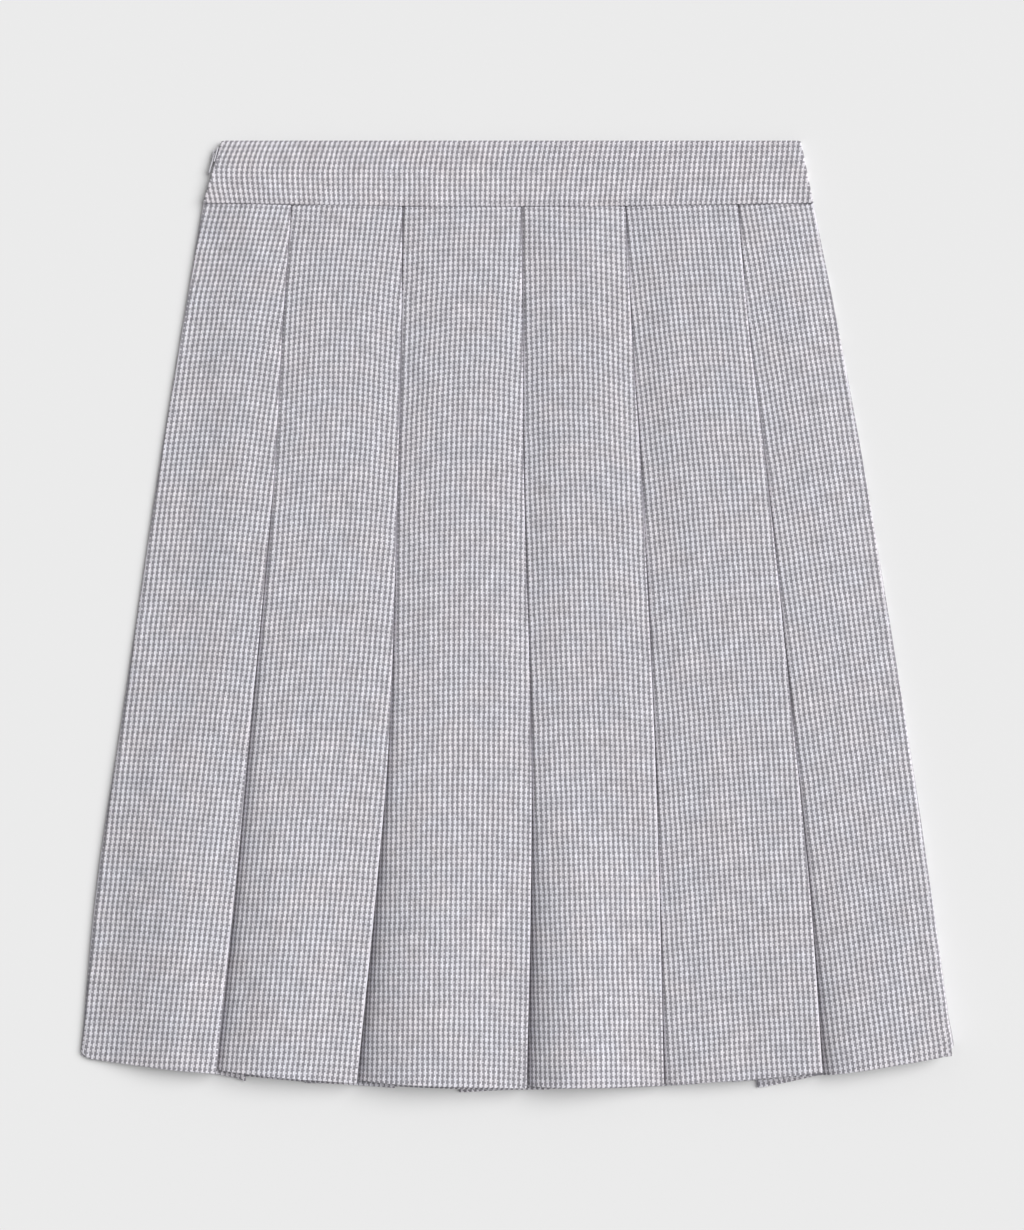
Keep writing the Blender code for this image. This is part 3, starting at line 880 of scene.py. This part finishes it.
# ---- shared effects ----
class NodeMaker:
    """Adds nodes to a tree from left to right, and links them."""

    def __init__(self, tree):
        self.tree = tree
        self.column = 0

    def feed(self, node, inputs):
        """Link each input to another node's output, or set it to a plain value."""
        for key, value in inputs.items():
            if isinstance(value, bpy.types.NodeSocket):
                self.tree.links.new(value, node.inputs[key])
            else:
                node.inputs[key].default_value = value

    def add(self, kind, inputs, **settings):
        """The outputs of a new node."""
        node = self.tree.nodes.new(kind)
        node.location = (self.column, 0)
        self.column += NODE_SPACING
        for key, value in settings.items():
            setattr(node, key, value)
        self.feed(node, inputs)
        return node.outputs

    def math(self, operation, *values):
        return self.add("ShaderNodeMath", dict(enumerate(values)), operation=operation)[0]

    def times(self, first, *others):
        for other in others:
            first = self.math("MULTIPLY", first, other)
        return first

    def weighted(self, first, first_weight, second, second_weight):
        return self.math("ADD", self.times(first, first_weight), self.times(second, second_weight))

    def varying(self, value, middle, gain):
        """A factor near 1, which follows a value that varies about its middle."""
        return self.math("MULTIPLY_ADD", self.math("SUBTRACT", value, middle), gain, 1.0)

    def remap(self, value, low, high):
        """A value from 0 to 1, moved to run from low to high."""
        return self.math("MULTIPLY_ADD", value, high - low, low)

    def arch(self, value):
        """Up from 0 to 1 and down again, as a value runs from 0 to 1."""
        return self.math("SINE", self.times(value, math.pi))

    def vector(self, x, y, z=0.0):
        return self.add("ShaderNodeCombineXYZ", {0: x, 1: y, 2: z})[0]

    def vector_math(self, operation, first, second):
        return self.add("ShaderNodeVectorMath", {0: first, 1: second}, operation=operation)[0]

    def choose(self, share, first, second):
        return self.add("ShaderNodeMix", {0: share, 2: first, 3: second}, data_type="FLOAT")[0]

    def mix(self, share, first, second, blend="MIX"):
        inputs = {0: share, 6: first, 7: second}
        return self.add("ShaderNodeMix", inputs, data_type="RGBA", blend_type=blend)[2]

    def noise(self, vector, scale, detail=2.0, roughness=0.5, output="Fac"):
        inputs = {"Vector": vector, "Scale": scale, "Detail": detail, "Roughness": roughness}
        return self.add("ShaderNodeTexNoise", inputs, noise_dimensions="3D")[output]

    def bump(self, strength, distance, height, **others):
        inputs = {"Strength": strength, "Distance": distance, "Height": height, **others}
        return self.add("ShaderNodeBump", inputs)[0]

    def group(self, name, inputs):
        return self.add("ShaderNodeGroup", inputs, node_tree=bpy.data.node_groups[name])


def node_group(name, inputs, outputs):
    """An empty shader group with named sockets: its maker, and its inputs by name."""
    group = bpy.data.node_groups.new(name, "ShaderNodeTree")
    group.interface.new_socket("Vector", in_out="INPUT", socket_type="NodeSocketVector")
    for label, default in inputs.items():
        kind = "NodeSocketFloat" if isinstance(default, float) else "NodeSocketColor"
        socket = group.interface.new_socket(label, in_out="INPUT", socket_type=kind)
        socket.default_value = default
    for label, kind in outputs.items():
        group.interface.new_socket(label, in_out="OUTPUT", socket_type="NodeSocket" + kind)
    maker = NodeMaker(group)
    return maker, maker.add("NodeGroupInput", {})


def finish_group(maker, values):
    result = maker.tree.nodes.new("NodeGroupOutput")
    result.location = (maker.column, 0)
    maker.feed(result, values)


def slub_group(name):
    """Unevenness of spun yarn: clouds, fine fibres, and a tint that wanders."""
    maker, given = node_group(name, {"Strength": 0.1}, {"Shade": "Float", "Tint": "Color"})
    clouds = maker.noise(given["Vector"], 96.0, detail=4.0, roughness=0.7)
    fibres = maker.noise(given["Vector"], 1900.0, detail=1.0)
    both = maker.weighted(clouds, CLOUD_WEIGHT, fibres, FIBRE_WEIGHT)
    middle = (CLOUD_WEIGHT + FIBRE_WEIGHT) / 2
    shade = maker.varying(both, middle, maker.times(given["Strength"], SHADE_GAIN))
    wander = maker.noise(given["Vector"], 38.0, roughness=0.6)
    tint = maker.add("ShaderNodeValToRGB", {0: wander})[0]
    for stop, (position, colour) in zip(tint.node.color_ramp.elements, WANDERING_TINT):
        stop.position = position
        stop.color = (*colour, 1.0)
    finish_group(maker, {"Shade": shade, "Tint": tint})


def check_group(name):
    """Two dark and two light threads each way, woven over two and under two, with painted shade in
    their hollows.
    """
    inputs = {
        "Repeat Across": 0.003,
        "Repeat Along": 0.003,
        "Warp Share": 0.5,
        "Fuzz": 0.0008,
        "Dark Yarn": (0.1, 0.1, 0.1, 1.0),
        "Light Yarn": (0.8, 0.8, 0.8, 1.0),
        "Unevenness": 0.1,
    }
    maker, given = node_group(name, inputs, {"Color": "Color", "Height": "Float"})
    moved = given["Vector"]
    for scale, reach in ((60.0, THREAD_SWAY), (2400.0, given["Fuzz"])):
        wobble = maker.noise(given["Vector"], scale, output="Color")
        centred = maker.vector_math("SUBTRACT", wobble, (0.5, 0.5, 0.5))
        scaling = {0: centred, "Scale": reach}
        reaching = maker.add("ShaderNodeVectorMath", scaling, operation="SCALE")[0]
        moved = maker.vector_math("ADD", moved, reaching)
    across, down = maker.add("ShaderNodeSeparateXYZ", {0: moved})[:2]

    def threads(place, repeat):
        """Of the threads that lie one way: their count, number, profile and colour."""
        repeats = maker.math("DIVIDE", place, repeat)
        is_dark = maker.math("LESS_THAN", maker.math("FRACT", repeats), 0.5)
        count = maker.times(repeats, THREADS)
        profile = maker.arch(maker.math("FRACT", count))
        colour = maker.mix(is_dark, given["Light Yarn"], given["Dark Yarn"])
        return count, maker.math("FLOOR", count), profile, colour

    warp_number, warp_side, warp_colour = threads(across, given["Repeat Across"])[1:]
    weft_count, weft_number, weft_side, weft_colour = threads(down, given["Repeat Along"])
    stepped = maker.math("ADD", maker.math("ADD", weft_count, warp_number), 1.0)
    float_count = maker.math("DIVIDE", stepped, THREADS)
    phase = maker.math("FRACT", float_count)
    warp_shows = maker.math("LESS_THAN", phase, given["Warp Share"])
    on_float = maker.math("MINIMUM", maker.math("DIVIDE", phase, given["Warp Share"]), 1.0)
    warp_height = maker.times(warp_side, maker.remap(maker.arch(on_float), *WARP_RELIEF))
    shown = maker.choose(warp_shows, maker.times(weft_side, WEFT_RELIEF), warp_height)
    colour = maker.mix(warp_shows, weft_colour, warp_colour)

    this_float = maker.vector(warp_number, maker.math("FLOOR", float_count))
    one_float = maker.add(
        "ShaderNodeTexWhiteNoise", {"Vector": this_float}, noise_dimensions="2D"
    )["Value"]
    on_warp = maker.vector(warp_number, maker.times(down, WARP_SLUBS))
    on_weft = maker.vector(maker.times(across, WEFT_SLUBS), weft_number, WEFT_SEED)
    warp_slub, weft_slub = (
        maker.noise(place, 1.0, detail=1.0) for place in (on_warp, on_weft)
    )
    yarn = maker.choose(warp_shows, weft_slub, warp_slub)
    varied = maker.weighted(one_float, FLOAT_WEIGHT, yarn, SLUB_WEIGHT)
    spun = maker.varying(varied, 0.5, maker.times(given["Unevenness"], SPUN_GAIN))

    melange = maker.group(
        "Slub and melange", {"Vector": given["Vector"], "Strength": given["Unevenness"]}
    )
    # the colour takes painted shade in the hollows and a painted highlight on the crowns, times
    # the yarns' own uneven tone
    shade = maker.times(spun, maker.remap(shown, *PAINTED_HOLLOW_SHADE), melange["Shade"])
    shaded = maker.mix(1.0, colour, maker.vector(shade, shade, shade), "MULTIPLY")
    tinted = maker.mix(1.0, shaded, melange["Tint"], "MULTIPLY")
    finish_group(maker, {"Color": tinted, "Height": shown})


def nap_group(name):
    """Short fibres that stand off brushed cloth."""
    maker, given = node_group(name, {"Fineness": 2600.0}, {"Height": "Float"})
    stretched = maker.vector_math("MULTIPLY", given["Vector"], (1.0, 0.45, 1.0))
    fuzz = maker.noise(stretched, given["Fineness"], detail=3.0, roughness=0.7)
    finish_group(maker, {"Height": fuzz})


def wear_group(name):
    """Fine scratches and dulled patches on a smooth finish."""
    maker, given = node_group(name, {"Wear": 0.3}, {"Mask": "Float", "Height": "Float"})
    stretched = maker.vector_math("MULTIPLY", given["Vector"], (1.0, 0.12, 1.0))
    scratches = maker.noise(stretched, 5200.0, roughness=0.6)
    patches = maker.noise(given["Vector"], 700.0, detail=3.0, roughness=0.6)
    mask = maker.times(scratches, patches, given["Wear"])
    finish_group(maker, {"Mask": mask, "Height": scratches})


def shared_groups():
    for name, build in (
        ("Slub and melange", slub_group),
        ("Shepherd check", check_group),
        ("Nap", nap_group),
        ("Handled finish", wear_group),
    ):
        if name not in bpy.data.node_groups:
            build(name)


# ---- finishes ----
def new_material(name, plain_values):
    """A material, its node maker and its shader, with the shader's plain values set."""
    material = bpy.data.materials.new(name)
    material.use_nodes = True
    shader = material.node_tree.nodes["Principled BSDF"]
    maker = NodeMaker(material.node_tree)
    maker.feed(shader, plain_values)
    return material, maker, shader


def wool(name, settings, brightness, warmth):
    """Brushed wool check. Brightness and warmth set one piece's cloth off from another's."""
    material, maker, shader = new_material(name, {
        "Roughness": settings.roughness,
        "Sheen Weight": settings.sheen,
        "Sheen Roughness": 0.5,
        "Specular IOR Level": 0.25,
    })
    place = maker.add("ShaderNodeUVMap", {}, uv_map="cloth")[0]
    tint = [brightness * (1 + share * warmth) for share in (1.0, -0.3, -1.0)]
    dark, light = (
        [channel * gain for channel, gain in zip(yarn, tint)]
        for yarn in (settings.dark_yarn, settings.light_yarn)
    )
    check = maker.group("Shepherd check", {
        "Vector": place,
        "Repeat Across": settings.repeat_across,
        "Repeat Along": settings.repeat_along,
        "Warp Share": settings.warp_share,
        "Dark Yarn": (*dark, 1.0),
        "Light Yarn": (*light, 1.0),
        "Unevenness": settings.unevenness,
    })
    nap = maker.group("Nap", {"Vector": place})
    yarn_bump = maker.bump(settings.bump, YARN_BUMP, check["Height"])
    nap_bump = maker.bump(settings.bump, NAP_BUMP, nap["Height"], Normal=yarn_bump)
    maker.feed(shader, {"Base Color": check["Color"], "Normal": nap_bump})
    return material


def woven_tape(colour):
    """Plain narrow tape: a fine check of one colour."""
    material, maker, shader = new_material("zip tape", {"Roughness": 0.85})
    light = [min(1.0, channel * 1.25) for channel in colour]
    # the check paints shade into the hollows between the tape's threads
    check = maker.group("Shepherd check", {
        "Vector": maker.add("ShaderNodeTexCoord", {})["Object"],
        "Repeat Across": 1.6 * MM,
        "Repeat Along": 1.6 * MM,
        "Dark Yarn": (*colour, 1.0),
        "Light Yarn": (*light, 1.0),
        "Unevenness": 0.05,
    })
    bump = maker.bump(0.5, TAPE_BUMP, check["Height"])
    maker.feed(shader, {"Base Color": check["Color"], "Normal": bump})
    return material


def handled(name, colour, wear_amount, worn_gain, rough_range):
    """Smooth enamel or moulding, scratched and dulled by use, with its worn patches paler."""
    material, maker, shader = new_material(name, {})
    place = maker.add("ShaderNodeTexCoord", {})["Object"]
    wear = maker.group("Handled finish", {"Vector": place, "Wear": wear_amount})
    worn = [min(1.0, channel * worn_gain) for channel in colour]
    maker.feed(shader, {
        "Base Color": maker.mix(wear["Mask"], (*colour, 1.0), (*worn, 1.0)),
        "Roughness": maker.remap(wear["Mask"], *rough_range),
        "Normal": maker.bump(0.2, SCRATCH_BUMP, wear["Height"]),
    })
    return material


def floor_finish(colour):
    return new_material("pale floor", {
        "Roughness": 0.9, "Specular IOR Level": 0.1, "Base Color": (*colour, 1.0),
    })[0]


# ---- settings ----
class SkirtWool(PropertyGroup):
    """Yarns and finish of the wool."""

    dark_yarn: FloatVectorProperty(
        name="Dark yarn", description="Colour of the dark threads",
        subtype="COLOR", default=(0.300, 0.293, 0.318), min=0.0, max=1.0,
    )
    light_yarn: FloatVectorProperty(
        name="Light yarn", description="Colour of the light threads",
        subtype="COLOR", default=(0.812, 0.798, 0.842), min=0.0, max=1.0,
    )
    repeat_across: FloatProperty(
        name="Repeat across", description="Width of one check",
        default=3.04 * MM, unit="LENGTH", precision=5,
    )
    repeat_along: FloatProperty(
        name="Repeat along", description="Height of one check",
        default=3.30 * MM, unit="LENGTH", precision=5,
    )
    warp_share: FloatProperty(
        name="Warp share", description="Share of the face that the warp covers",
        default=0.50, min=0.1, max=0.9, subtype="FACTOR",
    )
    unevenness: FloatProperty(
        name="Unevenness", description="How uneven the yarns are",
        default=0.09, min=0.0, max=1.0, subtype="FACTOR",
    )
    roughness: FloatProperty(
        name="Roughness", description="Roughness of the cloth",
        default=0.92, min=0.0, max=1.0, subtype="FACTOR",
    )
    sheen: FloatProperty(
        name="Sheen", description="Soft edge glow of the nap",
        default=0.05, min=0.0, max=1.0, subtype="FACTOR",
    )
    bump: FloatProperty(
        name="Bump", description="Strength of the yarns' relief",
        default=0.55, min=0.0, max=1.0, subtype="FACTOR",
    )


class SkirtTrim(PropertyGroup):
    """Colours of the zip."""

    tape: FloatVectorProperty(
        name="Tape", description="Colour of the zip's tape and teeth",
        subtype="COLOR", default=(0.42, 0.41, 0.44), min=0.0, max=1.0,
    )
    enamel: FloatVectorProperty(
        name="Enamel", description="Colour of the slider and its pull",
        subtype="COLOR", default=(0.42, 0.41, 0.44), min=0.0, max=1.0,
    )


class SkirtStage(PropertyGroup):
    """Floor, light and camera."""

    floor: FloatVectorProperty(
        name="Floor", description="Colour of the floor",
        subtype="COLOR", default=(0.80, 0.80, 0.80), min=0.0, max=1.0,
    )
    key: FloatProperty(
        name="Key light", description="Strength of the key light", default=3.02, min=0.0,
    )
    fill: FloatProperty(
        name="Fill light", description="Strength of the surrounding light", default=0.34, min=0.0,
    )
    camera_height: FloatProperty(
        name="Camera height", description="Height of the camera above the floor",
        default=2.0, unit="LENGTH",
    )
    view_height: FloatProperty(
        name="View height", description="Length of floor that the picture's height takes in",
        default=0.738, unit="LENGTH",
    )


# ---- operators ----
def wool_material(context, name):
    shared_groups()
    if name in bpy.data.materials:
        return bpy.data.materials[name]
    return wool(name, context.scene.skirt_wool, *WOOL_SHADES[name])


def placed_sheet(piece, node):
    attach(piece, "skirt")
    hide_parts(node)


class SKIRT_OT_front(Operator):
    """Make the front, with its five knife pleats"""

    bl_idname = "skirt.front"
    bl_label = "Front"

    def execute(self, context):
        piece = sheet("front_cloth", front_rows(), wool_material(context, "skirt wool"))
        placed_sheet(piece, "skirt_front")
        return {"FINISHED"}


class SKIRT_OT_back(Operator):
    """Make the back, which lies on the floor"""

    bl_idname = "skirt.back"
    bl_label = "Back"

    def execute(self, context):
        piece = sheet("back_cloth", back_rows(), wool_material(context, "skirt wool"))
        placed_sheet(piece, "skirt_back")
        return {"FINISHED"}


class SKIRT_OT_waistband(Operator):
    """Make both halves of the waistband"""

    bl_idname = "skirt.waistband"
    bl_label = "Waistband"

    def execute(self, context):
        material = wool_material(context, "waistband wool")
        for name, node, is_front, under in (
            ("band_front_cloth", "waistband_front", True, "band_back_cloth"),
            ("band_back_cloth", "waistband_back", False, "floor"),
        ):
            piece = sheet(name, band_rows(is_front), material)
            placed_sheet(piece, node)
        return {"FINISHED"}


class SKIRT_OT_zip(Operator):
    """Make the zip's tapes and teeth, and finish its slider and pull"""

    bl_idname = "skirt.zip"
    bl_label = "Zip"

    def execute(self, context):
        shared_groups()
        colours = context.scene.skirt_trim
        tape = sheet("zip_tapes", tape_rows(), woven_tape(colours.tape))
        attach(tape, "skirt")
        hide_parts("zip_tape")
        plastic = handled(
            "zip teeth", colours.tape, wear_amount=0.8, worn_gain=1.3, rough_range=(0.32, 0.5)
        )
        teeth = zip_teeth("zip_teeth", plastic)
        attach(teeth, "skirt")
        enamel = handled(
            "zip enamel", colours.enamel, wear_amount=1.2, worn_gain=2.2, rough_range=(0.34, 0.6)
        )
        for node in ("zip_slider", "zip_pull"):
            for material_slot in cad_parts[node].material_slots:
                material_slot.material = enamel
        return {"FINISHED"}


class SKIRT_OT_stage(Operator):
    """Make the camera, the floor and the lights"""

    bl_idname = "skirt.stage"
    bl_label = "Stage"

    def execute(self, context):
        settings = context.scene.skirt_stage
        scene = context.scene
        lens = bpy.data.cameras.new("camera")
        lens.sensor_width = SENSOR_WIDTH
        lens.lens = SENSOR_WIDTH * settings.camera_height / settings.view_height
        camera = linked("camera", lens)
        camera.location = (*(Vector(CAMERA_PLACE) * MM), settings.camera_height)
        scene.camera = camera

        plane = bmesh.new()
        bmesh.ops.create_grid(plane, x_segments=1, y_segments=1, size=FLOOR_REACH)
        floor = object_from(plane, "floor", floor_finish(settings.floor))

        sun = bpy.data.lights.new("key", "SUN")
        sun.energy = settings.key
        sun.angle = math.radians(KEY_ANGLE)
        key = linked("key", sun)
        key.rotation_mode = "QUATERNION"
        key.rotation_quaternion = Vector(KEY_TOWARDS).to_track_quat("Z", "Y")

        world = bpy.data.worlds.new("studio")
        world.use_nodes = True
        background = world.node_tree.nodes["Background"]
        background.inputs["Color"].default_value = (1.0, 1.0, 1.0, 1.0)
        background.inputs["Strength"].default_value = settings.fill
        scene.world = world
        scene.view_settings.view_transform = "Standard"
        return {"FINISHED"}


class SKIRT_PT_panel(Panel):
    """Buttons and sizes of the skirt"""

    bl_idname = "SKIRT_PT_panel"
    bl_label = "Pleated skirt"
    bl_space_type = "VIEW_3D"
    bl_region_type = "UI"
    bl_category = "Skirt"

    def draw(self, context):
        layout = self.layout
        for operator in OPERATORS:
            layout.operator(operator.bl_idname)
        for group in SETTINGS:
            settings = getattr(context.scene, group)
            box = layout.box()
            for name in settings.__annotations__:
                box.prop(settings, name)


SETTINGS = {"skirt_wool": SkirtWool, "skirt_trim": SkirtTrim, "skirt_stage": SkirtStage}
OPERATORS = (SKIRT_OT_stage, SKIRT_OT_back, SKIRT_OT_front, SKIRT_OT_waistband, SKIRT_OT_zip)


def register():
    for name, settings in SETTINGS.items():
        bpy.utils.register_class(settings)
        setattr(bpy.types.Scene, name, PointerProperty(type=settings))
    for item in (*OPERATORS, SKIRT_PT_panel):
        bpy.utils.register_class(item)


def unregister():
    for item in (SKIRT_PT_panel, *reversed(OPERATORS)):
        bpy.utils.unregister_class(item)
    for name, settings in SETTINGS.items():
        delattr(bpy.types.Scene, name)
        bpy.utils.unregister_class(settings)


def main():
    register()
    bpy.ops.skirt.stage()
    bpy.ops.skirt.back()
    bpy.ops.skirt.front()
    bpy.ops.skirt.waistband()
    bpy.ops.skirt.zip()


if __name__ == "__main__":
    main()
